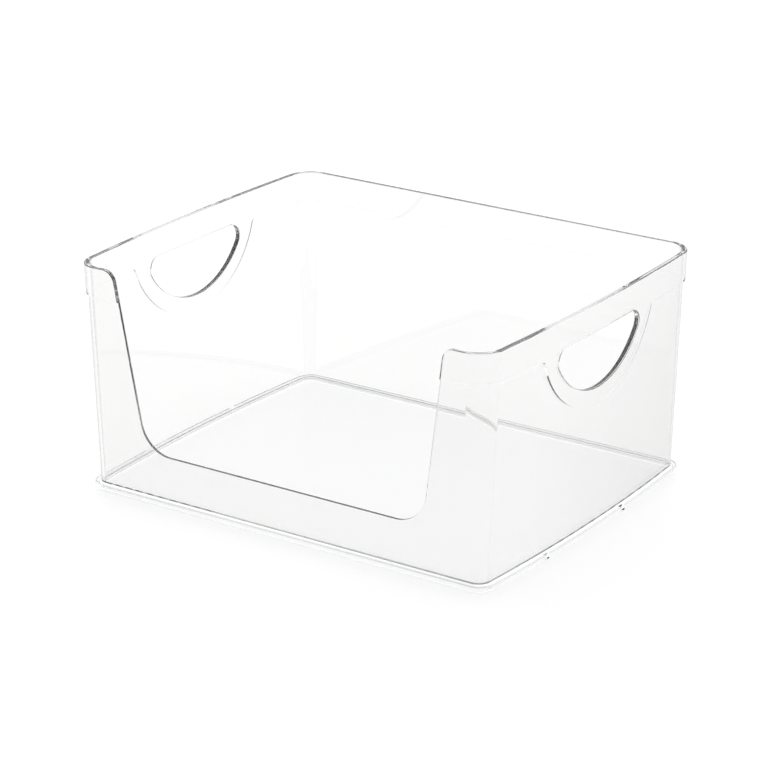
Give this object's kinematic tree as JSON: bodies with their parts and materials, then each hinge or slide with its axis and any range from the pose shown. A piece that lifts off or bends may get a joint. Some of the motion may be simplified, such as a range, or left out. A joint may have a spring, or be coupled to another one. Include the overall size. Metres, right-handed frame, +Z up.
{
  "type": "fridge bin",
  "caption": "Clear open-front storage bin with a thicker rim band, D-shaped hand grips in both sides and a flanged base tray that stacks.",
  "frame": {"origin": "centre of the resting face under the base tray", "axes": "+Z up, front opening towards -Y, hand grips on the +X and -X walls"},
  "size_m": [0.3048, 0.2414, 0.1484],
  "materials": {
    "clear_wall": "clear polished moulding, neutral",
    "clear_base": "clear polished moulding, faint green tint"
  },
  "bodies": {
    "root": {"wall_shell": "clear_wall", "base_tray": "clear_base"}
  },
  "joints": []
}
